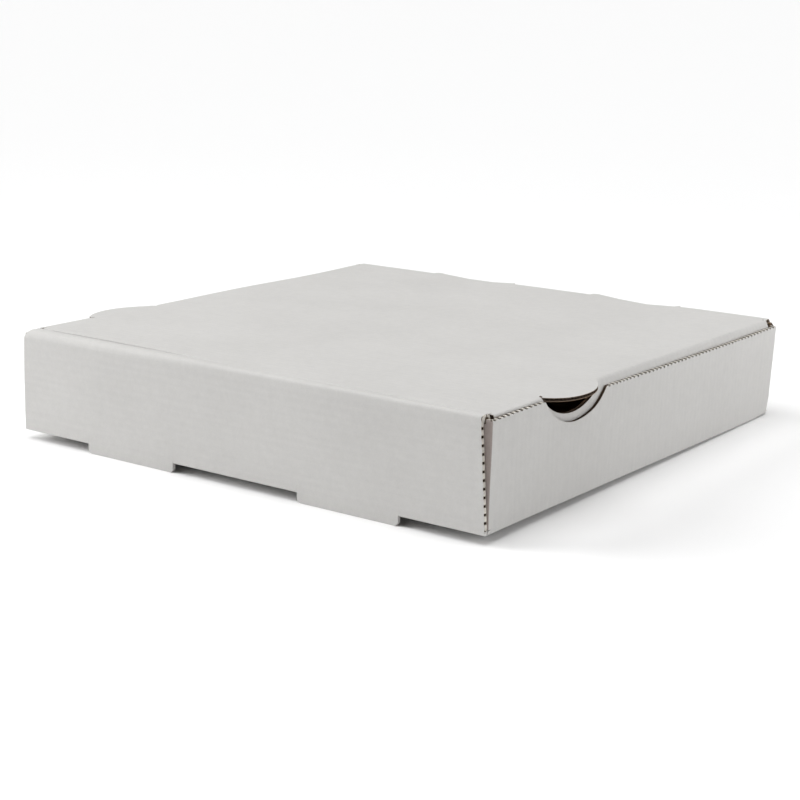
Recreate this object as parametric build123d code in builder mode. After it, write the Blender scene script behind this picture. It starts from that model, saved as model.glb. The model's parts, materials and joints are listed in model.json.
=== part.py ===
"""Pizza box folded from one die-cut sheet of thin corrugated board, shown shut.

Millimetres. Front wall at -Y, hinge at +Y, lid on top. The two slot tongues under
the front wall touch z = 0, and the box is centred on x = 0 and y = 0.
"""

import os
from math import pi, radians, tan

from build123d import *

os.makedirs("parts", exist_ok=True)

# Box and board
INSIDE_WIDTH = 254.0  # between the side walls
INSIDE_DEPTH = 254.0  # front wall to rear wall
INSIDE_HEIGHT = 44.5  # floor to lid
BOARD = 1.6  # two liners with fine fluting between
FOLD = 0.2  # inside radius of a creased fold
EASE = 0.3  # air between layers that lie together
SIDE_DROP = 1.0  # cut top of a side wall below the lid's underside
END_INSET = 0.3  # front and rear walls stop this far inside the side faces

# Fluting, which runs from side to side of the unfolded sheet
FLUTE_PITCH = 3.4
LINER = 0.3  # paper on each face
MEDIUM = 0.25  # paper of the fluting
FLUTE_OPEN = 2.5  # how deep its open ends are cut
FLUTE_WIDE_SHARE = 0.39  # half width of an open end at its liner, of the pitch
FLUTE_NARROW_SHARE = 0.09  # and at the crest across from it

# Rolled front wall
ROLL_WIDTH = 8.4  # outer face to inner face across the top
ROLL_DROP = 0.1  # top of the roll below the top of the lid
ROLL_FRONT = 2.4  # inside radius of the roll's front crease
ROLL_REAR = 0.9  # inside radius of its rear crease
ROLL_INSET = 3.2  # ends of the roll inside the side faces
LOCK_EASE = 1.5  # lock tab shorter than its slot at each end

# Slot tongues under the front wall
TONGUE_DROP = 4.2
TONGUE_LENGTH = 52.0
TONGUE_SPACING = 122.0  # centre to centre
TONGUE_ROUND = 2.0
SLIT = 0.5  # cut at each end of a tongue
SLIT_RISE = 1.6  # how far that cut runs up the wall

# Corner flaps of the side walls
CORNER_FLAP = 42.0  # length past the fold
CORNER_SLANT = 5.0  # how much lower the flap is at its end, top and bottom
CORNER_ROUND = 4.0

# Thumb notches in the side walls and thumb tabs of the lid
THUMB_BACK = 64.0  # centre behind the front face
NOTCH_WIDTH = 45.0
NOTCH_DEPTH = 11.4
NOTCH_ROUND = 2.0
TAB_WIDTH = 42.0
TAB_OUT = 8.2  # past the lid's side face

# Lid
LID_FOLD = 0.8  # inside radius of the lid's folds
LID_SIDE_EASE = 0.5  # side flap to side wall
LID_FRONT_EASE = 0.7  # front flap to the rolled wall
LID_FLAP = 38.0  # height of the lid's flaps
LID_LEAN = 6.0  # degrees, front flap tucked inwards
LID_SLANT = 8.0  # how much shorter a flap is at its free edge, each end
LID_ROUND = 6.0
LID_REAR_CUT = 6.4  # side flap ends this far inside the rear face
HINGE_GAP = 0.3  # rear wall's top below the hinge bead

# Hinge tongues, which stay level with the lid behind the hinge crease
HINGE_TONGUE = 4.2  # length behind the hinge axis
HINGE_TONGUE_LENGTH = 52.0
HINGE_TONGUE_SPACING = 100.0
HINGE_TONGUE_ROUND = 3.0

# Planes and faces
half = BOARD / 2
bend = FOLD + BOARD
mid_bend = FOLD + half
width = INSIDE_WIDTH + 2 * BOARD
depth = INSIDE_DEPTH + 2 * BOARD
tongue_past = HINGE_TONGUE - half
front = -(depth + tongue_past) / 2
rear = front + depth
side = width / 2
flat_x = side - bend

under = TONGUE_DROP
floor = under + BOARD
lid_under = floor + INSIDE_HEIGHT
lid_top = lid_under + BOARD
axis_y = rear - half
axis_z = lid_under + half
side_top = lid_under - SIDE_DROP
rear_top = axis_z - half - HINGE_GAP
thumb_y = front + THUMB_BACK

roll_mid = lid_top - ROLL_DROP - half
roll_spring = roll_mid - ROLL_FRONT - half
roll_rear_y = front + ROLL_WIDTH - half
roll_half = side - ROLL_INSET
foot_y = front + 2 * BOARD + 2 * EASE + half
foot_z = floor + EASE
foot_lean = (roll_rear_y - foot_y) / (roll_mid - foot_z)
tab_foot_z = under + EASE
tab_foot_y = foot_y - foot_lean * (foot_z - tab_foot_z)
slot_rear = front + bend + TONGUE_DROP

wall_front = front + BOARD + EASE + bend
wall_rear = rear - BOARD - EASE - bend
fold_front = front + bend + EASE
fold_rear = rear - bend - EASE
corner_low = under + bend + EASE
flap_low = floor + EASE
flap_x = flat_x - CORNER_FLAP

lid_bend = LID_FOLD + BOARD
lid_mid_bend = LID_FOLD + half
lid_half = side - BOARD - LID_SIDE_EASE
lid_flat_x = lid_half - lid_bend
lid_front = front + ROLL_WIDTH + LID_FRONT_EASE
lid_flat_y = lid_front + lid_bend
lid_flap_z = lid_top - LID_FLAP
lid_side_front = lid_front + EASE
lid_side_rear = rear - LID_REAR_CUT
lid_corner_y = lid_flat_y - lid_mid_bend * tan(radians(90 + LID_LEAN) / 2)
lean_run = tan(radians(LID_LEAN)) * (axis_z - lid_flap_z)
tab_rise = TAB_OUT + lid_bend - lid_mid_bend * pi / 2


def strip(plane, points, radii, start, end):
    """Board along a folded middle line on a plane, start to end on its normal."""
    with BuildSketch(plane.offset(start)) as profile:
        with BuildLine():
            if radii:
                FilletPolyline(*points, radius=radii)
            else:
                Polyline(*points)
        trace(line_width=BOARD)
    extrude(profile.sketch, amount=end - start)


def fold_ring(plane, centre, radius, angle, start, end):
    """Quarter turn of board about a centre on a plane, start to end on its normal."""
    with BuildSketch(plane.offset(start)) as profile:
        with BuildLine():
            CenterArc(centre, radius, angle, 90)
        trace(line_width=BOARD)
    extrude(profile.sketch, amount=end - start)


def sheet(plane, points, rounds, start, end, mode=Mode.ADD):
    """Flat board, or a cut, with a polygon outline whose listed corners are rounded."""
    with BuildSketch(plane.offset(start)) as outline:
        with BuildLine():
            Polyline(*points, close=True)
        make_face()
        for corner, size in rounds:
            near = Vector(*corner, 0)
            spot = outline.sketch_local.vertices().sort_by_distance(near)[0]
            fillet(spot, radius=size)
    extrude(outline.sketch, amount=end - start, mode=mode)


def block(x_range, y_range, z_range, mode=Mode.ADD):
    """Straight-sided piece or cut between two limits on each axis."""
    low = (x_range[0], y_range[0], z_range[0])
    size = (x_range[1] - x_range[0], y_range[1] - y_range[0], z_range[1] - z_range[0])
    with Locations(low):
        Box(*size, align=(Align.MIN, Align.MIN, Align.MIN), mode=mode)


def open_flutes(plane, length):
    """Open ends of the fluting along a cut edge, which runs on a plane's X about its origin."""
    count = int(length / FLUTE_PITCH)
    wide = FLUTE_PITCH * FLUTE_WIDE_SHARE
    narrow = FLUTE_PITCH * FLUTE_NARROW_SHARE
    at_liner = half - LINER
    at_crest = MEDIUM - at_liner
    outer_end = [(-wide, at_liner), (wide, at_liner), (narrow, at_crest), (-narrow, at_crest)]
    inner_end = [(-x, -y) for x, y in outer_end]
    with BuildSketch(plane) as ends:
        with GridLocations(FLUTE_PITCH, FLUTE_PITCH, count, 1):
            Polygon(*outer_end, align=None)
        with GridLocations(FLUTE_PITCH, FLUTE_PITCH, count - 1, 1):
            Polygon(*inner_end, align=None)
    extrude(ends.sketch, amount=-FLUTE_OPEN, mode=Mode.SUBTRACT)


# Tray: right half of the floor and walls, then both halves
tongue_x = TONGUE_SPACING / 2
tongue_ends = (tongue_x - TONGUE_LENGTH / 2, tongue_x + TONGUE_LENGTH / 2)
hinge_x = HINGE_TONGUE_SPACING / 2
hinge_ends = (hinge_x - HINGE_TONGUE_LENGTH / 2, hinge_x + HINGE_TONGUE_LENGTH / 2)
notch_radius = (NOTCH_WIDTH**2 / 4 + NOTCH_DEPTH**2) / (2 * NOTCH_DEPTH)

with BuildPart() as tray:
    block((0, flat_x), (front + bend, rear - bend), (under, floor))

    # Side wall on its fold, with the thumb notch
    fold_ring(Plane.XZ, (flat_x, under + bend), mid_bend, 270, -fold_rear, -fold_front)
    block((side - BOARD, side), (wall_front, wall_rear), (under + bend, side_top))
    with BuildSketch(Plane.YZ.offset(side - BOARD)):
        with Locations((thumb_y, side_top + notch_radius - NOTCH_DEPTH)):
            Circle(notch_radius)
    extrude(amount=BOARD, mode=Mode.SUBTRACT)
    lips = tray.edges().filter_by(Axis.X).group_by(Axis.Z)[-1].sort_by(Axis.Y)
    fillet(lips[1:3], radius=NOTCH_ROUND)
    before_notch = (wall_front, thumb_y - NOTCH_WIDTH / 2 - NOTCH_ROUND)
    behind_notch = (thumb_y + NOTCH_WIDTH / 2 + NOTCH_ROUND, wall_rear)
    for low_y, high_y in (before_notch, behind_notch):
        middle = (side - half, (low_y + high_y) / 2, side_top)
        open_flutes(Plane(middle, x_dir=(0, 1, 0), z_dir=(0, 0, 1)), high_y - low_y)

    # Front wall, drawn in towards the roll, and its slot tongue
    fold_ring(Plane.YZ, (front + bend, under + bend), mid_bend, 180, 0, side - END_INSET)
    sheet(
        Plane.XZ,
        [(0, under + bend), (side - END_INSET, under + bend), (roll_half, roll_spring), (0, roll_spring)],
        [],
        -front - BOARD,
        -front,
    )
    block(
        (tongue_ends[0] - SLIT, tongue_ends[1] + SLIT),
        (front, slot_rear),
        (under, under + bend + SLIT_RISE),
        mode=Mode.SUBTRACT,
    )
    sheet(
        Plane.XZ,
        [
            (tongue_ends[0], 0),
            (tongue_ends[1], 0),
            (tongue_ends[1], under + bend + SLIT_RISE),
            (tongue_ends[0], under + bend + SLIT_RISE),
        ],
        [((tongue_ends[0], 0), TONGUE_ROUND), ((tongue_ends[1], 0), TONGUE_ROUND)],
        -front - BOARD,
        -front,
    )

    # Rear wall with the window that the hinge tongue leaves
    fold_ring(Plane.YZ, (rear - bend, under + bend), mid_bend, 270, 0, side - END_INSET)
    block((0, side - END_INSET), (rear - BOARD, rear), (under + bend, rear_top))
    block(
        (hinge_ends[0] - SLIT, hinge_ends[1] + SLIT),
        (rear - BOARD, rear),
        (axis_z - HINGE_TONGUE - SLIT, rear_top),
        mode=Mode.SUBTRACT,
    )

    # Corner flaps behind the front wall and before the rear wall
    corners = ((wall_front, wall_front - bend, 270), (wall_rear, wall_rear + FOLD, 0))
    for corner_y, face_y, turn in corners:
        fold_ring(Plane.XY, (flat_x, corner_y), mid_bend, turn, corner_low, side_top)
        sheet(
            Plane.XZ,
            [
                (flat_x, flap_low),
                (flat_x, side_top),
                (roll_half + EASE, side_top),
                (roll_half + EASE, roll_spring),
                (flap_x, roll_spring - CORNER_SLANT),
                (flap_x, flap_low + CORNER_SLANT),
            ],
            [
                ((flap_x, roll_spring - CORNER_SLANT), CORNER_ROUND),
                ((flap_x, flap_low + CORNER_SLANT), CORNER_ROUND),
            ],
            -face_y - BOARD,
            -face_y,
        )

    # Roll over the corner flap, inner wall and the lock tab in its slot
    strip(
        Plane.YZ,
        [
            (front + half, roll_spring - bend),
            (front + half, roll_mid),
            (roll_rear_y, roll_mid),
            (foot_y, foot_z),
        ],
        [ROLL_FRONT + half, ROLL_REAR + half],
        0,
        roll_half,
    )
    strip(
        Plane.YZ,
        [(foot_y + foot_lean * bend, foot_z + bend), (tab_foot_y, tab_foot_z)],
        [],
        tongue_ends[0] + LOCK_EASE,
        tongue_ends[1] - LOCK_EASE,
    )

    # Open fluting at the front wall's end
    end_low = Vector(side - END_INSET, front + half, under + bend)
    end_run = Vector(roll_half, front + half, roll_spring) - end_low
    outward = Axis.Y.direction.cross(end_run)
    open_flutes(Plane(end_low + end_run / 2, x_dir=end_run, z_dir=outward), end_run.length)
    mirror(about=Plane.YZ)

tray.part.label = "tray"
export_step(tray.part, "parts/tray.step")

# Lid: right half of the top and flaps, then both halves
tab_ends = (thumb_y - TAB_WIDTH / 2, thumb_y + TAB_WIDTH / 2)
tab_radius = (TAB_WIDTH**2 / 4 + TAB_OUT**2) / (2 * TAB_OUT)
window_radius = (TAB_WIDTH**2 / 4 + tab_rise**2) / (2 * tab_rise)
fold_z = lid_top - lid_bend

with BuildPart() as lid:
    block((0, lid_flat_x), (lid_flat_y, axis_y), (lid_under, lid_top))
    block((0, lid_half), (lid_side_rear, axis_y), (lid_under, lid_top))

    # Side flap on its fold, opened where the thumb tab was cut from it
    fold_ring(Plane.XZ, (lid_flat_x, fold_z), lid_mid_bend, 0, -lid_side_rear, -lid_side_front)
    sheet(
        Plane.YZ,
        [
            (lid_side_front, fold_z),
            (lid_side_front + LID_SLANT, lid_flap_z),
            (lid_side_rear - LID_SLANT, lid_flap_z),
            (lid_side_rear, fold_z),
        ],
        [
            ((lid_side_front + LID_SLANT, lid_flap_z), LID_ROUND),
            ((lid_side_rear - LID_SLANT, lid_flap_z), LID_ROUND),
        ],
        lid_half - BOARD,
        lid_half,
    )
    with BuildSketch(Plane.YZ.offset(lid_flat_x)):
        with Locations((thumb_y, fold_z - tab_rise + window_radius)):
            Circle(window_radius)
        with BuildLine():
            Polyline(
                (tab_ends[0], fold_z),
                (tab_ends[1], fold_z),
                (tab_ends[1], fold_z - window_radius),
                (tab_ends[0], fold_z - window_radius),
                close=True,
            )
        make_face(mode=Mode.INTERSECT)
    extrude(amount=lid_bend, mode=Mode.SUBTRACT)
    block((lid_flat_x, lid_half), tab_ends, (fold_z, lid_top), mode=Mode.SUBTRACT)

    # Thumb tab, level with the top
    with BuildSketch(Plane.XY.offset(lid_under)):
        with BuildLine():
            arc = ThreePointArc(
                (lid_half, tab_ends[0]), (lid_half + TAB_OUT, thumb_y), (lid_half, tab_ends[1])
            )
            Polyline(arc @ 1, (lid_flat_x, tab_ends[1]), (lid_flat_x, tab_ends[0]), arc @ 0)
        make_face()
    extrude(amount=BOARD)

    # Front flap on its fold, tucked inwards
    strip(
        Plane.YZ,
        [
            (lid_flat_y + lid_bend, axis_z),
            (lid_corner_y, axis_z),
            (lid_corner_y + lean_run, lid_flap_z),
        ],
        [lid_mid_bend],
        0,
        lid_flat_x - EASE,
    )
    sheet(
        Plane.XZ,
        [
            (lid_flat_x - EASE, fold_z),
            (lid_flat_x - EASE, 0),
            (lid_flat_x - EASE - LID_SLANT, 0),
            (lid_flat_x - EASE - LID_SLANT, lid_flap_z),
        ],
        [],
        -lid_front - lean_run - bend,
        -lid_front,
        mode=Mode.SUBTRACT,
    )

    # Hinge bead and hinge tongue
    with BuildSketch(Plane.YZ):
        with Locations((axis_y, axis_z)):
            Circle(half)
    extrude(amount=lid_half)
    sheet(
        Plane.XY,
        [
            (hinge_ends[0], axis_y - half),
            (hinge_ends[0], axis_y + HINGE_TONGUE),
            (hinge_ends[1], axis_y + HINGE_TONGUE),
            (hinge_ends[1], axis_y - half),
        ],
        [
            ((hinge_ends[0], axis_y + HINGE_TONGUE), HINGE_TONGUE_ROUND),
            ((hinge_ends[1], axis_y + HINGE_TONGUE), HINGE_TONGUE_ROUND),
        ],
        lid_under,
        lid_top,
    )
    mirror(about=Plane.YZ)

lid.part.label = "lid"
export_step(lid.part, "parts/lid.step")
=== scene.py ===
"""White pizza box: the looks of its folded tray and lid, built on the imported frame."""

import json
from math import ceil, copysign, cos, hypot, pi, radians, sin

import bmesh
import bpy
from mathutils import Matrix, Vector, noise


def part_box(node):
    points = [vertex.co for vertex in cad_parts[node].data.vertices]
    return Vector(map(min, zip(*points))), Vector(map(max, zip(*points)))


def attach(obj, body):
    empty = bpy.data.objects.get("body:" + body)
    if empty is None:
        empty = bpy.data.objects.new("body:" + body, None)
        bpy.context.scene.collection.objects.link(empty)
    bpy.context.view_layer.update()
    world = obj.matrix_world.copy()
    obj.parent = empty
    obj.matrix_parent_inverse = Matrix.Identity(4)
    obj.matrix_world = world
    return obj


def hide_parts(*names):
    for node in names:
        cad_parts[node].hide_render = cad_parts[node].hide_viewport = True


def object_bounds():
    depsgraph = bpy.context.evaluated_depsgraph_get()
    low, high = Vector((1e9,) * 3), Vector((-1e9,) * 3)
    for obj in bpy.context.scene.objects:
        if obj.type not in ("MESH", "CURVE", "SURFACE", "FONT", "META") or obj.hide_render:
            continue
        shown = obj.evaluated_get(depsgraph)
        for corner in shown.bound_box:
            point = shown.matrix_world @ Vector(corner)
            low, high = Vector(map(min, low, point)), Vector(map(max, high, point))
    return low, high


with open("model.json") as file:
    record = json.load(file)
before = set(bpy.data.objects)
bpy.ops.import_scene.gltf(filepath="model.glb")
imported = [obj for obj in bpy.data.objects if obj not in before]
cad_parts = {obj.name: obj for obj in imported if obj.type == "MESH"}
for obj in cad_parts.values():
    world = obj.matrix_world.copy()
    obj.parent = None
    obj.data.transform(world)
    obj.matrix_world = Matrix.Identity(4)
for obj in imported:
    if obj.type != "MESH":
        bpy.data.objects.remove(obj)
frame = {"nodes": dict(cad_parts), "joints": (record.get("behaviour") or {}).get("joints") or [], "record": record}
cad_box = [list(corner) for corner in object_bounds()]

# Board and folds, in metres
MM = 0.001
MERGE = MM / 1000
BOARD = 1.6 * MM
WALL_SKIN = 1.05 * BOARD
BEHIND_WALL = 1.1 * BOARD
LINER = 0.28 * MM
MEDIUM = 0.2 * MM
FLUTE_PITCH = 3.4 * MM
FLUTE_STEP = FLUTE_PITCH / 10
GAP = 0.3 * MM
SLIT = 0.5 * MM
FOLD = 1.8 * MM
LID_FOLD = 2.4 * MM
LID_EASE = 0.5 * MM
WALL_DROP = 1.0 * MM
ROLL_RADIUS = 4.0 * MM
ROLL_WIDTH = 8.4 * MM
ROLL_INSET = 2.9 * MM
FLAP_START = 82 * MM
FLAP_REACH = 4 * BOARD
GRID = 16 * MM

# Cut edges: depths below the rim and dips of the outer liner, in metres, and rows of the fluting
CUT_DEPTH = 1.0 * MM
OPEN_DEPTH = 2.4 * MM
STRIP_TOP = 0.12 * MM
STRIP_DEPTH = 0.85 * MM
STRIP_LEVELS = 4
STRIP_MERGE = MM / 200
BRIDGE_TOP = 0.03 * MM
LINER_DIP = 0.4 * MM
DEEP_DIP = 0.75 * MM
UPRIGHT_DIP = 0.32 * MM

# Heights of the fluting's wave, -1 to 1: where bridges close it, and where dips, painted shade and crests fade
BRIDGE = 0.05
UPRIGHT_BRIDGE = -0.6
DIP_WAVE = (-0.8, 0.1)
DIP_SHADE_WAVE = (-0.45, 0.15)
CREST_WAVE = (-0.7, 0.1)

# Shares: painted shade of upright dips, crest of shut cuts, depth of dips and its change from flute to flute
UPRIGHT_DIP_SHADE = 0.5
SHUT_CREST = 0.3
DIP_MEAN, DIP_SPREAD, DIP_CHANGE = 0.85, 0.4, 0.7
MIDWAY = 0.5

# Shares of a face's normal along an axis, and angles in degrees
SQUARE_ON = 0.99
UPWARD = 0.9
FACING = 0.7
HALF_FACING = 0.5
PART_FACING = 0.3
ALONG = 0.1
UPRIGHT = 0.02
PANEL_ANGLE = 50
RIM_ANGLE = 3
FLAT_ANGLE = 0.5
SMOOTH_ANGLE = 28

# Places, from the frame where it has them
tray_low, tray_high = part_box("tray")
lid_low, lid_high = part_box("lid")
hinge = Vector(frame["joints"][0]["pos_m"])
mounts = {m["name"]: Vector(m["pos_m"]) for m in frame["record"]["mounts"]}
floor_under = mounts["underside"].z
lid_top = mounts["stack_top"].z
front, rear, side = tray_low.y, tray_high.y, tray_high.x
lid_side = side - BOARD - LID_EASE
side_top = lid_top - BOARD - WALL_DROP
roll_spring = tray_high.z - ROLL_RADIUS
tongue_ends = (35 * MM, 87 * MM)
tab_ends = (-87.3 * MM, -45.3 * MM)
thumb = sum(tab_ends) / 2

# Material slots of a board piece
WHITE, KRAFT, CUT, OPEN, HOLLOW, SHADED_FOLD = range(6)


def pick(piece):
    """Makes one object the only selected and active one."""
    bpy.ops.object.select_all(action="DESELECT")
    piece.select_set(True)
    bpy.context.view_layer.objects.active = piece


def open_mesh(piece):
    """Edit mode on one object, with its editable mesh."""
    pick(piece)
    bpy.ops.object.mode_set(mode="EDIT")
    bpy.ops.mesh.select_mode(type="FACE")
    return bmesh.from_edit_mesh(piece.data)


def shut_mesh():
    """Back to object mode."""
    bpy.ops.object.mode_set(mode="OBJECT")


def share_of(value, whole):
    """Share of a whole, kept between 0 and 1."""
    return min(1.0, max(0.0, value / whole))


def smooth(low, high, value):
    """0 below low, 1 above high, eased between."""
    share = share_of(value - low, high - low)
    return share * share * (3 - 2 * share)


# Paper: each noise has its scale, detail and roughness
CLOUDS = (22, 3, 0.5)
PULP = (260, 4, 0.6)
SPECKS = (1500, 2, 0.7)
STREAKS = (700, 3, 0.6)
GRAIN = (700, 4, 0.65)
FINE_FIBRES = (900, 3, 0.7)
BROAD_FIBRES = (90, 2, 0.5)
NOISE_LOW, NOISE_HIGH = 0.3, 0.7
STREAK_STRETCH = 0.05
BUMP_STRENGTH, BUMP_HEIGHT, RIB_SHARE = 0.25, 0.06 * MM, 0.35
FINE_SHADE, BROAD_SHADE = 0.2, 0.12
LINER_GLOSS, RAW_GLOSS, RAW_ROUGHNESS = 0.25, 0.1, 0.95


def new_material(name, roughness, specular):
    """Principled material with its node tree and shader."""
    material = bpy.data.materials.new(name)
    material.use_nodes = True
    tree = material.node_tree
    shader = tree.nodes["Principled BSDF"]
    shader.inputs["Roughness"].default_value = roughness
    shader.inputs["Specular IOR Level"].default_value = specular
    return material, tree, shader


def add_noise(tree, where, scale, detail, roughness):
    """Noise on the piece's own coordinates."""
    node = tree.nodes.new("ShaderNodeTexNoise")
    node.inputs["Scale"].default_value = scale
    node.inputs["Detail"].default_value = detail
    node.inputs["Roughness"].default_value = roughness
    tree.links.new(where, node.inputs["Vector"])
    return node.outputs["Fac"]


def spread(tree, value, swing):
    """Maps the range where most noise lies onto 1 less and 1 more than a swing."""
    node = tree.nodes.new("ShaderNodeMapRange")
    node.inputs["From Min"].default_value = NOISE_LOW
    node.inputs["From Max"].default_value = NOISE_HIGH
    node.inputs["To Min"].default_value = 1 - swing
    node.inputs["To Max"].default_value = 1 + swing
    tree.links.new(value, node.inputs["Value"])
    return node.outputs["Result"]


def combine(tree, operation, first, second):
    """Math node on two values or sockets."""
    node = tree.nodes.new("ShaderNodeMath")
    node.operation = operation
    for socket, value in zip(node.inputs, (first, second)):
        if isinstance(value, (int, float)):
            socket.default_value = value
        else:
            tree.links.new(value, socket)
    return node.outputs["Value"]


def tint(tree, colour, shade):
    """Colour times a grey shade."""
    node = tree.nodes.new("ShaderNodeVectorMath")
    node.operation = "SCALE"
    node.inputs[0].default_value = colour
    tree.links.new(shade, node.inputs["Scale"])
    return node.outputs["Vector"]


def streaks(tree, where, across):
    """Uneven stripes along the flutes, where the liner follows them."""
    along = tree.nodes.new("ShaderNodeVectorMath")
    along.operation = "DOT_PRODUCT"
    along.inputs[1].default_value = (STREAK_STRETCH, STREAK_STRETCH, STREAK_STRETCH)
    tree.links.new(where, along.inputs[0])
    join = tree.nodes.new("ShaderNodeCombineXYZ")
    tree.links.new(across, join.inputs["X"])
    tree.links.new(along.outputs["Value"], join.inputs["Y"])
    return add_noise(tree, join.outputs["Vector"], *STREAKS)


def paper(name, colour, roughness, mottle, washboard):
    """Board liner: cloudy pulp, fine fibres and the faint ribs of the fluting beneath."""
    material, tree, shader = new_material(name, roughness, LINER_GLOSS)
    where = tree.nodes.new("ShaderNodeTexCoord").outputs["Object"]
    across = tree.nodes.new("ShaderNodeAttribute")
    across.attribute_name = "across_flutes"
    turns = combine(tree, "MULTIPLY", across.outputs["Fac"], 2 * pi / FLUTE_PITCH)
    ribs = combine(tree, "SINE", turns, 0.0)
    rib_shade = combine(tree, "MULTIPLY_ADD", ribs, washboard)
    rib_shade.node.inputs[2].default_value = 1.0
    shade = spread(tree, streaks(tree, where, across.outputs["Fac"]), mottle / 2)
    for kind in (CLOUDS, PULP, SPECKS):
        shade = combine(tree, "MULTIPLY", shade, spread(tree, add_noise(tree, where, *kind), mottle))
    shade = combine(tree, "MULTIPLY", shade, rib_shade)
    tree.links.new(tint(tree, colour, shade), shader.inputs["Base Color"])
    bump = tree.nodes.new("ShaderNodeBump")
    bump.inputs["Strength"].default_value = BUMP_STRENGTH
    bump.inputs["Distance"].default_value = BUMP_HEIGHT
    raised_ribs = combine(tree, "MULTIPLY", ribs, RIB_SHARE)
    height = combine(tree, "ADD", add_noise(tree, where, *GRAIN), raised_ribs)
    tree.links.new(height, bump.inputs["Height"])
    tree.links.new(bump.outputs["Normal"], shader.inputs["Normal"])
    return material


def fibres(tree):
    """Uneven grey of torn and cut paper."""
    where = tree.nodes.new("ShaderNodeTexCoord").outputs["Object"]
    fine = spread(tree, add_noise(tree, where, *FINE_FIBRES), FINE_SHADE)
    broad = spread(tree, add_noise(tree, where, *BROAD_FIBRES), BROAD_SHADE)
    return combine(tree, "MULTIPLY", fine, broad)


def raw_edge(name, colour):
    """Paper inside the board, with uneven fibres; used for the near-black painted shade of the hollows."""
    material, tree, shader = new_material(name, RAW_ROUGHNESS, RAW_GLOSS)
    tree.links.new(tint(tree, colour, fibres(tree)), shader.inputs["Base Color"])
    return material


def cut_edge(name, attribute, stops):
    """Cut paper whose colour changes with an attribute of the piece."""
    material, tree, shader = new_material(name, RAW_ROUGHNESS, RAW_GLOSS)
    depth = tree.nodes.new("ShaderNodeAttribute")
    depth.attribute_name = attribute
    ramp = tree.nodes.new("ShaderNodeValToRGB")
    elements = ramp.color_ramp.elements
    while len(elements) < len(stops):
        elements.new(MIDWAY)
    for element, (place, colour) in zip(elements, stops):
        element.position = place
        element.color = (*colour, 1)
    shade = tree.nodes.new("ShaderNodeVectorMath")
    shade.operation = "SCALE"
    tree.links.new(depth.outputs["Fac"], ramp.inputs["Fac"])
    tree.links.new(ramp.outputs["Color"], shade.inputs[0])
    tree.links.new(fibres(tree), shade.inputs["Scale"])
    tree.links.new(shade.outputs["Vector"], shader.inputs["Base Color"])
    return material


# Each liner's colour, roughness, mottle and washboard
white_face = paper("white_face", (0.58, 0.572, 0.558), 0.82, 0.022, 0.007)
kraft_inside = paper("kraft_inside", (0.42, 0.29, 0.18), 0.88, 0.05, 0.02)
# Painted shade: greyed white liner for the front corner folds that lie in the front wall's shadow
fold_painted_shade = paper("fold_painted_shade", (0.37, 0.317, 0.296), 0.85, 0.03, 0.004)
# Cut liner: pale at the white face and brown at the kraft face, with painted shade darkening it towards the recess
# between the liners
cut_liner = cut_edge(
    "cut_liner",
    "through_board",
    [
        (0, (0.5, 0.47, 0.43)),
        (0.2, (0.3, 0.25, 0.2)),
        (0.5, (0.15, 0.115, 0.09)),
        (1, (0.26, 0.19, 0.13)),
    ],
)
# Painted shade: the open cut is pale liner at the crests and near black down in its dips
open_cut = cut_edge(
    "open_cut",
    "dip_shade",
    [(0, (0.64, 0.61, 0.56)), (0.4, (0.4, 0.35, 0.29)), (1, (0.06, 0.045, 0.034))],
)
# Painted shade: the fluting is near black in its troughs and along shut cuts, and pale where the liner closes over
# a crest
fluting = cut_edge(
    "fluting",
    "at_crest",
    [(0, (0.045, 0.032, 0.023)), (0.45, (0.1, 0.07, 0.05)), (1, (0.66, 0.63, 0.57))],
)
# Painted shade: near-black sheet in the board's sunk hollows, where there is only shade
hollow_painted_shade = raw_edge("hollow_painted_shade", (0.03, 0.021, 0.015))


# Board pieces from the folded nodes
def copy_sheet(name, node):
    """Own copy of a node's mesh with its doubles merged."""
    piece = bpy.data.objects.new(name, frame["nodes"][node].data.copy())
    bpy.context.scene.collection.objects.link(piece)
    piece.data.materials.clear()
    for material in (white_face, kraft_inside, cut_liner, open_cut, hollow_painted_shade, fold_painted_shade):
        piece.data.materials.append(material)
    open_mesh(piece)
    bpy.ops.mesh.select_all(action="SELECT")
    bpy.ops.mesh.remove_doubles(threshold=MERGE)
    shut_mesh()
    return piece


def flood(seeds, bend, barred):
    """Faces reached from some others over edges that bend less than an angle."""
    reached, waiting = set(seeds), list(seeds)
    while waiting:
        for edge in waiting.pop().edges:
            if len(edge.link_faces) != 2 or edge.calc_face_angle() > radians(bend):
                continue
            for face in edge.link_faces:
                if face not in reached and not barred(face):
                    reached.add(face)
                    waiting.append(face)
    return reached


def beside(mesh, kind, others):
    """Faces of one slot that share an edge with a face of some other slots."""
    return [
        face
        for face in mesh.faces
        if face.material_index == kind
        and any(near.material_index in others for edge in face.edges for near in edge.link_faces)
    ]


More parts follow.
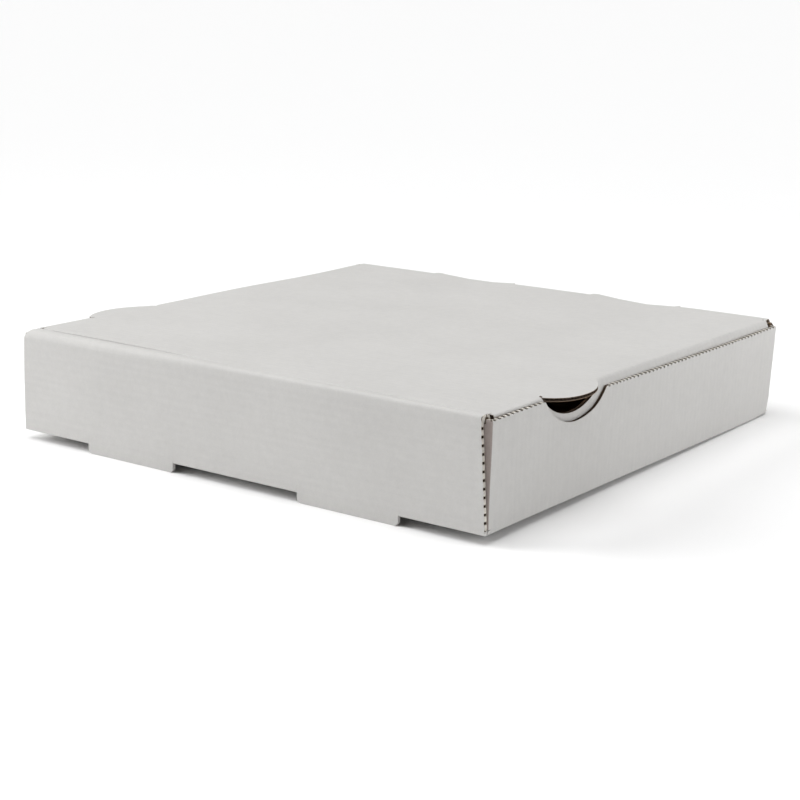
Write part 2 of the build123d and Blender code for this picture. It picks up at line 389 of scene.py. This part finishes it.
def mark_sides(piece, white_at, kraft_at, crease):
    """Gives the outer side, the inner side and the cut edge of a sheet their material slots."""
    mesh = open_mesh(piece)
    mesh.normal_update()

    def panel(place, direction):
        seed = next(
            face
            for face in mesh.faces
            if face.normal.z * direction > SQUARE_ON
            and abs(face.calc_center_median().z - place) < BOARD / 8
        )
        return flood([seed], PANEL_ANGLE, crease)

    white, kraft = panel(*white_at), panel(*kraft_at)
    for face in mesh.faces:
        face.material_index = CUT
        if face in white:
            face.material_index = WHITE
        elif face in kraft:
            face.material_index = KRAFT
        elif crease(face):
            above = face.calc_center_median().z > hinge.z
            face.material_index = WHITE if above else KRAFT

    # Open fluting: its walls are cut faces that no rim leads to
    def not_cut(face):
        return face.material_index != CUT

    rims = flood(beside(mesh, CUT, (WHITE, KRAFT)), PANEL_ANGLE, not_cut)
    for face in mesh.faces:
        if face.material_index == CUT and face not in rims:
            face.material_index = HOLLOW
    for face in flood(beside(mesh, CUT, (HOLLOW,)), RIM_ANGLE, not_cut):
        face.material_index = OPEN
    for face in [face for face in mesh.faces if face.material_index == CUT and pressed_shut(face)]:
        face.material_index = WHITE
    bpy.ops.mesh.select_all(action="DESELECT")
    for face in mesh.faces:
        face.select = face.material_index in (WHITE, KRAFT, CUT)
    bmesh.update_edit_mesh(piece.data)
    bpy.ops.mesh.dissolve_limited(angle_limit=radians(FLAT_ANGLE), delimit={"MATERIAL"})
    shut_mesh()


def pressed_shut(face):
    """Whether a cut face is pressed shut, so that only its white liner shows."""
    centre, out = face.calc_center_median(), face.normal
    if centre.z < floor_under + FOLD + 2 * BOARD:
        tongue_side = abs(out.x) > HALF_FACING and centre.y < front + BOARD
        fold_end = abs(centre.x) > side - 2 * BOARD and centre.z < floor_under + FOLD + 2 * GAP
        return tongue_side or fold_end
    if centre.z < lid_top - LID_FOLD - GAP:
        return False
    inside = abs(centre.x) < lid_side - BOARD
    hinge_tongue = abs(out.x) > PART_FACING and centre.y > hinge.y and inside
    at_front, at_rear = (abs(centre.y - end) < GAP for end in tab_ends)
    on_tab = abs(out.y) > FACING and abs(centre.x) > lid_side - 2 * LID_FOLD
    tab_end = on_tab and (at_rear or at_front and centre.x < 0)
    lid_corner = centre.x < -lid_side + BOARD and abs(centre.y - lid_low.y) < BOARD
    return hinge_tongue or tab_end or lid_corner


def close_flutes(piece):
    """Fills the open fluting of the frame's sheet, so that its rims can be cut again with waves."""
    mesh = open_mesh(piece)
    bpy.ops.mesh.select_all(action="DESELECT")
    found = False
    for face in mesh.faces:
        face.select = face.material_index in (OPEN, HOLLOW)
        found = found or face.select
    if found:
        bmesh.update_edit_mesh(piece.data)
        bpy.ops.mesh.delete(type="FACE")
        mesh = bmesh.from_edit_mesh(piece.data)
        bare = [vertex for vertex in mesh.verts if not vertex.link_faces]
        bmesh.ops.delete(mesh, geom=bare, context="VERTS")
        bare = [edge for edge in mesh.edges if not edge.link_faces]
        bmesh.ops.delete(mesh, geom=bare, context="EDGES")
        gaps = [edge for edge in mesh.edges if len(edge.link_faces) == 1]
        for face in bmesh.ops.holes_fill(mesh, edges=gaps, sides=0)["faces"]:
            face.material_index = OPEN
        bmesh.update_edit_mesh(piece.data)
    shut_mesh()


def open_roll_end(piece):
    """Lets the right end of the roll show its fluting too."""
    mesh = open_mesh(piece)
    for face in mesh.faces:
        centre, tip = face.calc_center_median(), max(vertex.co.z for vertex in face.verts)
        on_roll = front < centre.y < front + ROLL_WIDTH and tip > roll_spring
        right_end = face.normal.x > FACING and centre.x > side - 3 * BOARD
        if face.material_index == CUT and on_roll and right_end:
            face.material_index = OPEN
    bmesh.update_edit_mesh(piece.data)
    shut_mesh()


def part_rims(piece):
    """Divides the open rims' edges finely enough to follow each flute."""
    mesh = open_mesh(piece)
    groups = {}
    for edge in mesh.edges:
        kinds = {face.material_index for face in edge.link_faces}
        if OPEN in kinds and kinds & {WHITE, KRAFT}:
            cuts = round(edge.calc_length() / FLUTE_STEP) - 1
            groups.setdefault(cuts, []).append(edge)
    for cuts, edges in groups.items():
        if cuts > 0:
            bmesh.ops.subdivide_edges(mesh, edges=edges, cuts=cuts)
    bmesh.update_edit_mesh(piece.data)
    shut_mesh()


def flute_axis(out, place):
    """Direction across the flutes on a panel that faces out at a place."""
    if abs(out.y) < FACING:
        return Vector((0, 1, 0))
    from_wall = min(abs(place.y - front), abs(place.y - rear))
    on_flap = BEHIND_WALL < from_wall < FLAP_REACH and abs(place.x) > FLAP_START
    if on_flap and abs(out.z) < UPRIGHT:
        return Vector((1, 0, 0))
    return Vector((0, 0, 1))


def flute_wave(place, axis):
    """Height of the fluting at a place: 1 where it touches the outer liner, -1 where the inner."""
    return sin(2 * pi * place.dot(axis) / FLUTE_PITCH)


def crush_liner(piece):
    """Dips the outer liner's open edge, and paints shade on the cut, wherever the fluting leaves no crest."""
    mesh = open_mesh(piece)
    dip_shade = mesh.verts.layers.float.new("dip_shade")
    dips = {}
    for face in mesh.faces:
        if face.material_index != OPEN:
            continue
        place, axis = face.calc_center_median(), None
        for near in [near for edge in face.edges for near in edge.link_faces]:
            if near.material_index in (WHITE, KRAFT):
                axis = flute_axis(near.normal, place)
            if near.material_index == WHITE:
                dips.update((vertex, (-face.normal, axis)) for vertex in face.verts)
        axis = axis or flute_axis(face.normal, place)
        # Painted shade of the dip, weaker on upright cuts
        deepest_shade = UPRIGHT_DIP_SHADE if axis.z else 1
        for vertex in face.verts:
            vertex[dip_shade] = (1 - smooth(*DIP_SHADE_WAVE, flute_wave(vertex.co, axis))) * deepest_shade
    for vertex, (inward, axis) in dips.items():
        if vertex.co.x < 0 and vertex.co.y < front + BOARD + GAP:
            vertex[dip_shade] = 0
            continue
        hollow = 1 - smooth(*DIP_WAVE, flute_wave(vertex.co, axis))
        turn = round(vertex.co.dot(axis) / FLUTE_PITCH + 1 / 4)
        draw = noise.noise(Vector((turn * DIP_CHANGE, vertex.co.x / side, MIDWAY)))
        depth = DEEP_DIP if vertex.co.y > thumb else LINER_DIP
        if axis.z:
            depth = UPRIGHT_DIP
        vertex.co += inward * depth * hollow * (DIP_MEAN + DIP_SPREAD * draw)
    bmesh.update_edit_mesh(piece.data)
    shut_mesh()


def slice_grid(piece, bends):
    """Cuts the flat panels into a grid and at some heights, so that they can bow."""
    low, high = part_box(piece["node"])
    cuts = [(2, bend) for bend in bends]
    for axis in range(3):
        span = high[axis] - low[axis]
        count = ceil(span / GRID)
        cuts += [(axis, low[axis] + span * step / count) for step in range(1, count)]
    open_mesh(piece)
    for axis, level in cuts:
        place, normal = Vector(), Vector()
        place[axis], normal[axis] = level, 1
        bpy.ops.mesh.select_all(action="SELECT")
        bpy.ops.mesh.bisect(plane_co=place, plane_no=normal, threshold=MERGE)
    shut_mesh()


def cut_edges(piece):
    """Edges where the outer liner meets the cut: ends, outward side, way into the board, whether open."""
    mesh = open_mesh(piece)
    found = []
    for edge in mesh.edges:
        faces = sorted(edge.link_faces, key=lambda face: face.material_index)
        kinds = [face.material_index for face in faces]
        if kinds not in ([WHITE, CUT], [WHITE, OPEN]):
            continue
        outer, cut = faces
        if outer.normal.dot(cut.normal) > HALF_FACING:
            continue
        ends = [vertex.co.copy() for vertex in edge.verts]
        found.append((*ends, outer.normal.copy(), -cut.normal, cut.material_index == OPEN))
    shut_mesh()
    return found


def recess_cut(piece, kind, depth):
    """Sinks the cut edge between the two liners."""
    mesh = open_mesh(piece)
    bpy.ops.mesh.select_all(action="DESELECT")
    found = False
    for face in mesh.faces:
        face.select = face.material_index == kind
        found = found or face.select
    bmesh.update_edit_mesh(piece.data)
    if found:
        bpy.ops.mesh.inset(thickness=LINER, use_boundary=True, use_even_offset=False)
        bpy.ops.mesh.extrude_region_shrink_fatten(TRANSFORM_OT_shrink_fatten={"value": -depth})
        mesh = bmesh.from_edit_mesh(piece.data)
        for face in mesh.faces:
            if face.select:
                face.material_index = HOLLOW
        bmesh.update_edit_mesh(piece.data)
    shut_mesh()


def flute_strips(name, edges):
    """Wavy fluting that shows between the liners along the cut edges, bridged between open dips."""
    swing = BOARD / 2 - LINER - MEDIUM / 2
    mesh = bmesh.new()
    crest = mesh.verts.layers.float.new("at_crest")
    for start, end, out, inward, opened in edges:
        axis = flute_axis(out, (start + end) / 2)
        run = end - start
        count = max(1, ceil(abs(run.dot(axis)) / FLUTE_STEP))
        deep = 1 if abs(inward.dot(axis)) < ALONG else STRIP_LEVELS
        rims = [start + run * (step / count) for step in range(count + 1)]
        rows = []
        for rim in rims:
            column = []
            for level in range(deep + 1):
                place = rim + inward * (STRIP_TOP + STRIP_DEPTH * level / deep)
                wave = flute_wave(place, axis)
                column.append(mesh.verts.new(place + out * (swing * wave - BOARD / 2)))
                column[-1][crest] = smooth(*CREST_WAVE, wave) if opened else SHUT_CREST
            rows.append(column)
        for one, two in zip(rows, rows[1:]):
            for level in range(deep):
                mesh.faces.new((one[level], two[level], two[level + 1], one[level + 1]))
        shut = UPRIGHT_BRIDGE if axis.z else BRIDGE
        for pair in zip(rims, rims[1:]):
            on_roll = axis.z and pair[0].z > roll_spring
            if opened and (on_roll or min(flute_wave(rim, axis) for rim in pair) > shut):
                corners = [rim + inward * BRIDGE_TOP - out * LINER for rim in pair]
                far_side = out * (BOARD - LINER)
                corners += [rim + inward * BRIDGE_TOP - far_side for rim in reversed(pair)]
                bridge = mesh.faces.new([mesh.verts.new(corner) for corner in corners])
                for vertex in bridge.verts:
                    vertex[crest] = 1.0
    bmesh.ops.remove_doubles(mesh, verts=mesh.verts, dist=STRIP_MERGE)
    piece = bpy.data.objects.new(name, bpy.data.meshes.new(name))
    mesh.to_mesh(piece.data)
    mesh.free()
    bpy.context.scene.collection.objects.link(piece)
    piece.data.materials.append(fluting)
    pick(piece)
    bpy.ops.object.modifier_add(type="SOLIDIFY")
    piece.modifiers[-1].thickness = MEDIUM
    piece.modifiers[-1].offset = 0
    bpy.ops.object.modifier_apply(modifier=piece.modifiers[-1].name)
    return piece


def bend_to(piece, settle):
    """Moves every point to where the used, slightly sprung board has it, inside the part's box."""
    for vertex in piece.data.vertices:
        moved = settle(vertex.co)
        vertex.co = [min(max(moved[i], cad_box[0][i]), cad_box[1][i]) for i in range(3)]


def mark_flutes(piece):
    """Stores how far across the flutes each corner of each face lies."""
    values = piece.data.attributes.new("across_flutes", "FLOAT", "CORNER").data
    for face in piece.data.polygons:
        axis = flute_axis(face.normal, face.center)
        for loop in face.loop_indices:
            place = piece.data.vertices[piece.data.loops[loop].vertex_index].co
            values[loop].value = place.dot(axis)


def mark_depth(piece):
    """Stores how far through the board each point lies, 0 on the white face and 1 on the brown."""
    values = piece.data.attributes.new("through_board", "FLOAT", "POINT").data
    for value in values:
        value.value = MIDWAY
    for face in piece.data.polygons:
        if face.material_index in (WHITE, KRAFT):
            for vertex in face.vertices:
                values[vertex].value = float(face.material_index == KRAFT)


def shade_corner_folds(piece):
    """Paints shade on the white liner where the front corner folds turn in, in the shadow of the front wall's end.
    """
    for face in piece.data.polygons:
        y, z = face.center.yz
        reach = max(abs(piece.data.vertices[vertex].co.x) for vertex in face.vertices)
        at_fold = reach > side - FOLD - GAP and front + BOARD < y < front + BOARD + GAP + FOLD
        forward = face.normal.y < -FACING and z > floor_under + FOLD
        if face.material_index == WHITE and at_fold and forward:
            face.material_index = SHADED_FOLD


def finish_faces(piece):
    """Soft folds, crisp cut edges and flat panels."""
    pick(piece)
    bpy.ops.object.shade_smooth_by_angle(angle=radians(SMOOTH_ANGLE))
    bpy.ops.object.modifier_add(type="WEIGHTED_NORMAL")
    piece.modifiers[-1].keep_sharp = True
    bpy.ops.object.modifier_apply(modifier=piece.modifiers[-1].name)


# How sharply folds are pressed, where 2 keeps them round, and the board's waviness
PRESSED = 7
ROUND = 2
FOLD_REACH = 1.05
WAVE_LENGTH = 70 * MM


def unevenness(place, size):
    """Slow waviness that no folded board is without."""
    return noise.noise(place / WAVE_LENGTH) * size


def pressed(one, two, radius, power=PRESSED):
    """Growth from a fold's axis that turns its round outside into a pressed crease."""
    length = hypot(one, two)
    if one <= 0 or two <= 0 or length > FOLD_REACH * radius:
        return 1.0
    return length / (one**power + two**power) ** (1 / power)


def press_tray_folds(x, y, z):
    """Tray's corner folds and bottom folds, pressed."""
    across, low = abs(x) - side + FOLD, floor_under + FOLD - z
    for axis, way in ((front + BOARD + GAP + FOLD, -1), (rear - BOARD - GAP - FOLD, 1)):
        past = (y - axis) * way
        if low < 0:
            grow = pressed(across, past, FOLD)
            if grow != 1:
                return copysign(side - FOLD + across * grow, x), axis + way * past * grow, z
    for axis, way in ((front + FOLD, -1), (rear - FOLD, 1)):
        past = (y - axis) * way
        grow = pressed(past, low, FOLD)
        if grow != 1:
            return x, axis + way * past * grow, floor_under + FOLD - low * grow
    grow = pressed(across, low, FOLD)
    return copysign(abs(x) + max(across, 0.0) * (grow - 1), x), y, z - max(low, 0.0) * (grow - 1)


# Tray as it has sprung: amounts, and the spans over which they grow, in metres or as shares
RIGHTWARD = (-20 * MM, 120 * MM)
ROLL_END_SPAN = (95 * MM, 125 * MM)
ROLL_END_TUCK = 0.8 * MM
ROLL_END_ROUND = 2.2 * MM
INNER_SHARE = 0.5
ROLL_PRESS_SPAN = (-90 * MM, 70 * MM)
ROLL_PRESS = 3.5
ROLL_NARROWING = 2.9 * MM
NARROWING_RISE = (0.7, 1.0)
SLIT_ZONE = 5 * MM
SLIT_FIND = 0.1 * MM
SLIT_CLOSED = 0.85
WALL_BLEND = (3 * BOARD, 1.5 * BOARD)
BOW_RIGHT, BOW_LEFT = 1.0 * MM, 0.8 * MM
BOW_SPAN = (-95 * MM, -40 * MM)
BOW_REAR_SPAN = (90 * MM, 126 * MM)
BOW_REAR_SHARE, BOW_CURVE = 0.5, 0.8
LIFT_FRONT, LIFT_MIDDLE, LIFT_REAR = 0.7 * MM, -1.8 * MM, 0.6 * MM
LIFT_REAR_SPAN = (75 * MM, 120 * MM)
NOTCH_SHIFT = 2.6 * MM
NOTCH_GROWS = (thumb - 2 * MM, thumb + 14 * MM)
NOTCH_FADES = (thumb + 24 * MM, thumb + 50 * MM)
NOTCH_HEIGHT = (33 * MM, 42 * MM)
REAR_SPAN = (105 * MM, 125 * MM)
REAR_FOOT = (floor_under, floor_under + 7 * MM)
REAR_RISE = (20 * MM, side_top)
REAR_BACK, FOOT_BLUNT, FOOT_RAISED = 0.5 * MM, 1.6 * MM, 0.8 * MM
REAR_CHAMFER = 48.4 * MM
REAR_END_FROM = 40 * MM
REAR_END_SPAN = 10 * MM
REAR_END_IN, REAR_END_LEAST, CHAMFER_IN = 1.3 * MM, 0.2 * MM, 2.9 * MM
CORNER_TOP = 46 * MM
RIGHT_CORNER_OUT = 0.6 * MM
RIGHT_CORNER_SPAN = (front + 6 * MM, front + 25 * MM)
RIGHT_CORNER_RISE = (floor_under + 10 * MM, CORNER_TOP)
LEFT_CORNER_IN = 1.6 * MM
LEFT_CORNER_SPAN = (front + 5 * MM, front + 18 * MM)
LEFT_CORNER_RISE = (25 * MM, CORNER_TOP)
WALL_WAVES = 0.4 * MM
CALM_END = 30 * MM


def shape_roll(x, y, z):
    """Roll: full at its left end, tighter and narrower towards its right end."""
    ahead, above = front + ROLL_RADIUS - y, z - roll_spring
    rise = share_of(z - floor_under - FOLD, roll_spring - floor_under - FOLD)
    outer, inner = y < front + WALL_SKIN, y > front + 2 * BOARD + 2 * GAP
    if y > front + ROLL_WIDTH + BOARD / 4 or abs(x) > side - GAP / 2:
        return x, y, z
    if x < 0 and (outer or inner or above > 0):
        rounded = ROLL_END_ROUND * max(0.0, above / ROLL_RADIUS) ** 2
        wide = (ROLL_INSET * rise - ROLL_END_TUCK * rise**3 - rounded) * smooth(*ROLL_END_SPAN, -x)
        x -= wide * (1 - INNER_SHARE * smooth(front + 2 * BOARD, front + 3 * BOARD, y))
    grow = pressed(ahead, above, ROLL_RADIUS, ROUND + ROLL_PRESS * smooth(*ROLL_PRESS_SPAN, x))
    if grow != 1:
        y, z = front + ROLL_RADIUS - ahead * grow, roll_spring + above * grow
    if (inner or above > 0) and abs(x) < side - BOARD - GAP / 2:
        depth = share_of(y - front - BOARD, ROLL_WIDTH - 2 * BOARD) if above > 0 else 1.0
        y -= ROLL_NARROWING * smooth(*RIGHTWARD, x) * depth * smooth(*NARROWING_RISE, rise)
    return x, y, z


def close_slits(x, y, z):
    """Knife cuts at the ends of the slot tongues, no wider than a blade."""
    if y < front + FOLD + SLIT_ZONE and z < floor_under + FOLD + 2 * BOARD:
        for end, way in ((tongue_ends[0] - SLIT, 1), (tongue_ends[1] + SLIT, -1)):
            if abs(abs(x) - end) < SLIT_FIND:
                return copysign(abs(x) + way * SLIT_CLOSED * SLIT, x)
    return x


def wall_bow(x, y, z):
    """How far a side wall is sprung outwards."""
    height = smooth(floor_under, lid_top, z) ** BOW_CURVE
    behind = smooth(*BOW_SPAN, y) * (1 + BOW_REAR_SHARE * smooth(*BOW_REAR_SPAN, y))
    return (BOW_RIGHT if x > 0 else BOW_LEFT) * behind * height


def wall_lift(y, z):
    """How far a side wall's top stands above or below its middle height."""
    lift = LIFT_FRONT + LIFT_MIDDLE * smooth(*BOW_SPAN, y) + LIFT_REAR * smooth(*LIFT_REAR_SPAN, y)
    return lift * smooth(floor_under, side_top, z) ** 2


def notch_shift(y, z):
    """How far the right wall's notch reaches back beyond the lid's tab."""
    span = smooth(*NOTCH_GROWS, y) * (1 - smooth(*NOTCH_FADES, y))
    return NOTCH_SHIFT * span * smooth(*NOTCH_HEIGHT, z)


def front_corner(x, y, z):
    """How far a side wall's front corner is sprung out at the right or tucked in at the left."""
    if x > 0:
        return RIGHT_CORNER_OUT * (1 - smooth(*RIGHT_CORNER_SPAN, y)) * smooth(*RIGHT_CORNER_RISE, z)
    return -LEFT_CORNER_IN * (1 - smooth(*LEFT_CORNER_SPAN, y)) * smooth(*LEFT_CORNER_RISE, z)


def rear_corner(y, z):
    """Side wall's rear corner: back at its top, blunted at its foot. Gives the moves in y and z."""
    near = smooth(*REAR_SPAN, y)
    foot = 1 - smooth(*REAR_FOOT, z)
    return near * (REAR_BACK * smooth(*REAR_RISE, z) - FOOT_BLUNT * foot), near * FOOT_RAISED * foot


def rear_end(x, z):
    """How far the rear wall's ends are drawn in, with a chamfer at their top."""
    drawn = REAR_END_LEAST + REAR_END_IN * (1 - smooth(REAR_END_FROM, REAR_CHAMFER, z))
    drawn += CHAMFER_IN * max(0.0, (z - REAR_CHAMFER) / (tray_high.z - REAR_CHAMFER))
    return copysign(drawn * smooth(side - REAR_END_SPAN, side, abs(x)), x)


def settle_tray(place):
    """Tray: pressed folds, side walls sprung outwards, roll tighter to the right."""
    x, y, z = place
    x = close_slits(x, y, z)
    wall = smooth(side - WALL_BLEND[0], side - WALL_BLEND[1], abs(x))
    on_side = wall if front + BEHIND_WALL < y < rear - BEHIND_WALL else 0.0
    bow, lift = wall_bow(x, y, z) + front_corner(x, y, z), wall_lift(y, z)
    back, raised = rear_corner(y, z)
    if x > 0:
        back += notch_shift(y, z)
    ends = smooth(front, front + CALM_END, y) * (1 - smooth(rear - CALM_END, rear, y))
    if y > rear - WALL_SKIN:
        x -= rear_end(x, z)
    else:
        x, y, z = press_tray_folds(x, y, z)
        x, y, z = shape_roll(x, y, z)
    moved = Vector((copysign(1, x) * bow, back, lift + raised)) * on_side + Vector((x, y, z))
    moved.x += unevenness(place, WALL_WAVES) * wall * ends
    return moved


# Lid as it has sprung: amounts, and the spans over which they grow, in metres
FLAP_BEND = 3.6 * MM
FLAP_OUT = 0.5 * MM
FLAP_BLEND = (1.3 * BOARD, 0.9 * BOARD)
# Each sag's depth, and the spans over which it grows and fades
HINGE_SAGS = (
    (1.4 * MM, (-78 * MM, -62 * MM), (-34 * MM, -22 * MM)),
    (2.0 * MM, (22 * MM, 52 * MM), (66 * MM, 78 * MM)),
)
SAG_START = 60 * MM
LID_LEFT = (100 * MM, 124 * MM)
LID_MIDDLE = (-80 * MM, 0)
TUCK_LEAST, TUCK_MIDDLE, TUCK_RIGHT = 0.05 * MM, 0.4 * MM, 0.2 * MM
TUCK_SPAN = (60 * MM, 120 * MM)
FORWARD_LEFT, FORWARD_MIDDLE, FORWARD_RIGHT = 0.6 * MM, 0.35 * MM, 2.0 * MM
FORWARD_SPAN = (92 * MM, 118 * MM)
TAB_DROOP = 1.0 * MM
TAB_DROOP_SPAN = 10 * MM
LEFT_TAB_FORWARD = 2.8 * MM
LEFT_TAB_SPAN = 2 * MM
LID_CORNER_IN = 1.3 * MM
LID_CORNER_SPAN = 4 * MM
LID_CORNER_FROM = 120.4 * MM
LID_CORNER_RUN = 6 * MM
LID_WAVES, LID_SUNK = 0.5 * MM, 0.25 * MM
LID_FREE = 40 * MM


def hinge_sag(x, y):
    """How far the lid's rear edge sags where its tongues have no wall under them."""
    depth = sum(sag * smooth(*grows, x) * (1 - smooth(*fades, x)) for sag, grows, fades in HINGE_SAGS)
    return depth * smooth(SAG_START, hinge.y, y)


def settle_lid(place):
    """Lid: pressed folds, nearly flat, tucked behind the roll, with a drooping right tab."""
    x, y, z = place
    across, above = abs(x) - lid_side + LID_FOLD, z - lid_top + LID_FOLD
    ahead = lid_low.y + LID_FOLD - y
    at_tab = tab_ends[0] - GAP < y < tab_ends[1] + GAP
    free = smooth(0, LID_FREE, hinge.y - y)
    top = smooth(lid_top - 3 * BOARD, lid_top - BOARD, z)
    flap = smooth(lid_side - FLAP_BLEND[0], lid_side - FLAP_BLEND[1], abs(x))
    flap *= share_of(lid_top - z, FLAP_BEND)
    lean = (wall_bow(x, y, z) + FLAP_OUT) * flap * (abs(x) < lid_side + GAP)
    grow = pressed(across, above, LID_FOLD)
    if grow != 1 and not at_tab:
        x, z = copysign(abs(x) + across * (grow - 1), x), z + above * (grow - 1)
    grow = pressed(ahead, above, LID_FOLD)
    if grow != 1:
        y, z = y - ahead * (grow - 1), z + above * (grow - 1)
    left, middle, right = smooth(*LID_LEFT, -x), smooth(*LID_MIDDLE, x), smooth(*RIGHTWARD, x)
    droop = TAB_DROOP * smooth(lid_high.x - TAB_DROOP_SPAN, lid_high.x, x)
    tucked = (TUCK_LEAST + TUCK_MIDDLE * middle + TUCK_RIGHT * right) * smooth(*TUCK_SPAN, -y)
    forward = FORWARD_LEFT * left + FORWARD_MIDDLE * middle + FORWARD_RIGHT * right
    forward *= smooth(*FORWARD_SPAN, -y)
    if at_tab:
        forward += LEFT_TAB_FORWARD * smooth(lid_side - LEFT_TAB_SPAN, lid_side + LEFT_TAB_SPAN, -x)
    corner = smooth(lid_side - LID_CORNER_SPAN, lid_side, abs(x))
    x -= copysign(LID_CORNER_IN * corner * share_of(y - LID_CORNER_FROM, LID_CORNER_RUN), x)
    moved = Vector((x + copysign(lean, x), y - forward, z - droop - tucked - hinge_sag(x, y)))
    moved.z += (unevenness(place, LID_WAVES) - LID_SUNK) * free * top
    return moved


# Hinge line: how far behind it the lid's rounded edge starts, and that edge's radius
BEAD_START = 0.03 * MM
BEAD_RADIUS = 0.55 * BOARD


def in_bead(face):
    """Whether a face of the lid belongs to the rounded rear edge on the hinge line."""
    centre = face.calc_center_median() - hinge
    return centre.y > BEAD_START and Vector((0, centre.y, centre.z)).length < BEAD_RADIUS


def on_rear_top(face):
    """Whether a face of the tray is the rear wall's top under the hinge line."""
    centre = face.calc_center_median()
    at_top = centre.y > rear - WALL_SKIN and centre.z > hinge.z - BOARD
    return face.normal.z > UPWARD and at_top


def board_piece(name, node, white_at, kraft_at, crease, bend, settle):
    """Finished sheet and its fluting, from the heights and facings of its white and brown panels."""
    sheet = copy_sheet(name, node)
    sheet["node"] = node
    mark_sides(sheet, white_at, kraft_at, crease)
    close_flutes(sheet)
    open_roll_end(sheet)
    slice_grid(sheet, (bend,))
    part_rims(sheet)
    strips = flute_strips(name + "_fluting", cut_edges(sheet))
    recess_cut(sheet, CUT, CUT_DEPTH)
    recess_cut(sheet, OPEN, OPEN_DEPTH)
    crush_liner(sheet)
    mark_flutes(sheet)
    mark_depth(sheet)
    shade_corner_folds(sheet)
    for piece in (sheet, strips):
        bend_to(piece, settle)
        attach(piece, node)
    finish_faces(sheet)
    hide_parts(node)


tray_sides = ((floor_under, -1), (floor_under + BOARD, 1))
lid_sides = ((lid_top, 1), (lid_top - BOARD, -1))
board_piece("tray_board", "tray", *tray_sides, on_rear_top, REAR_CHAMFER, settle_tray)
board_piece("lid_board", "lid", *lid_sides, in_bead, lid_top - FLAP_BEND, settle_lid)


# Floor, light and camera
FLOOR_SIZE = 80
FLOOR_BELOW = 0.05 * MM
FLOOR_PALE = (0.95, 0.95, 0.95, 1)
FLOOR_ROUGHNESS, FLOOR_GLOSS = 0.9, 0.1
SKY_STRENGTH = 0.1
# Each light's name, degrees to the right of the front, degrees up, degrees across, strength
FAR_LIGHTS = (("left", -70, 28, 40, 1.75), ("right", 100, 25, 50, 0.4), ("above", 0, 89, 60, 2.1))
# Each soft box's name, place in metres, watts
SOFT_BOXES = (("box_left", (-0.55, -0.42, 0.25), 1.35), ("box_right", (0.5, 0.3, 0.16), 0.75))
SOFT_BOX_SIZE = 0.3
VIEW_AZIMUTH, VIEW_ELEVATION, VIEW_ROLL = 35.81, 13.58, 1.04
VIEW_TARGET = Vector((26.75, -46.85, 27.12)) * MM
VIEW_DISTANCE = 802.8 * MM
FOCAL_PIXELS, FRAME_PIXELS, SENSOR = 1776.9, 800, 36


def toward(azimuth, elevation):
    """Direction from the box, by degrees to the right of its front and degrees up."""
    turn, rise = radians(azimuth), radians(elevation)
    return Vector((sin(turn) * cos(rise), -cos(turn) * cos(rise), sin(rise)))


def pale_floor():
    """Floor under the slot tongues and the rear lower edge."""
    bpy.ops.object.select_all(action="DESELECT")
    bpy.ops.mesh.primitive_plane_add(size=FLOOR_SIZE)
    ground = bpy.context.object
    ground.name = "floor"
    tilt = (floor_under - tray_low.z) / (rear - front)
    for vertex in ground.data.vertices:
        vertex.co.z = tray_low.z - FLOOR_BELOW + (vertex.co.y - front) * tilt
    material, _, shader = new_material("pale_floor", FLOOR_ROUGHNESS, FLOOR_GLOSS)
    shader.inputs["Base Color"].default_value = FLOOR_PALE
    ground.data.materials.append(material)


def add_light(name, kind, energy, direction):
    """Light that shines against a direction."""
    lamp = bpy.data.objects.new(name, bpy.data.lights.new(name, kind))
    lamp.data.energy = energy
    lamp.rotation_euler = (-direction).to_track_quat("-Z", "Y").to_euler()
    bpy.context.scene.collection.objects.link(lamp)
    return lamp


def studio():
    """Soft light from all round."""
    world = bpy.data.worlds.new("studio")
    bpy.context.scene.world = world
    world.use_nodes = True
    tree = world.node_tree
    sky = tree.nodes["Background"]
    sky.inputs["Color"].default_value = (1, 1, 1, 1)
    split = tree.nodes.new("ShaderNodeSeparateXYZ")
    where = tree.nodes.new("ShaderNodeTexCoord").outputs["Generated"]
    tree.links.new(where, split.inputs["Vector"])
    height = combine(tree, "MAXIMUM", split.outputs["Z"], 0.0)
    tree.links.new(combine(tree, "MULTIPLY", height, SKY_STRENGTH), sky.inputs["Strength"])
    for name, azimuth, elevation, width, energy in FAR_LIGHTS:
        add_light(name, "SUN", energy, toward(azimuth, elevation)).data.angle = radians(width)
    for name, place, power in SOFT_BOXES:
        lamp = add_light(name, "AREA", power, Vector(place))
        lamp.data.size = SOFT_BOX_SIZE
        lamp.location = place
    bpy.context.scene.view_settings.view_transform = "Standard"


def camera():
    """The photograph's viewpoint, fitted to the box's edges."""
    back, roll = toward(VIEW_AZIMUTH, VIEW_ELEVATION), radians(VIEW_ROLL)
    level = Vector((-back.y, back.x, 0)).normalized()
    upright = back.cross(level)
    right = cos(roll) * level + sin(roll) * upright
    up = cos(roll) * upright - sin(roll) * level
    data = bpy.data.cameras.new("camera")
    data.sensor_width = SENSOR
    data.lens = SENSOR * FOCAL_PIXELS / FRAME_PIXELS
    eye = bpy.data.objects.new("camera", data)
    bpy.context.scene.collection.objects.link(eye)
    turn = Matrix((right, up, back)).transposed().to_4x4()
    eye.matrix_world = Matrix.Translation(VIEW_TARGET + back * VIEW_DISTANCE) @ turn
    bpy.context.scene.camera = eye


pale_floor()
studio()
camera()
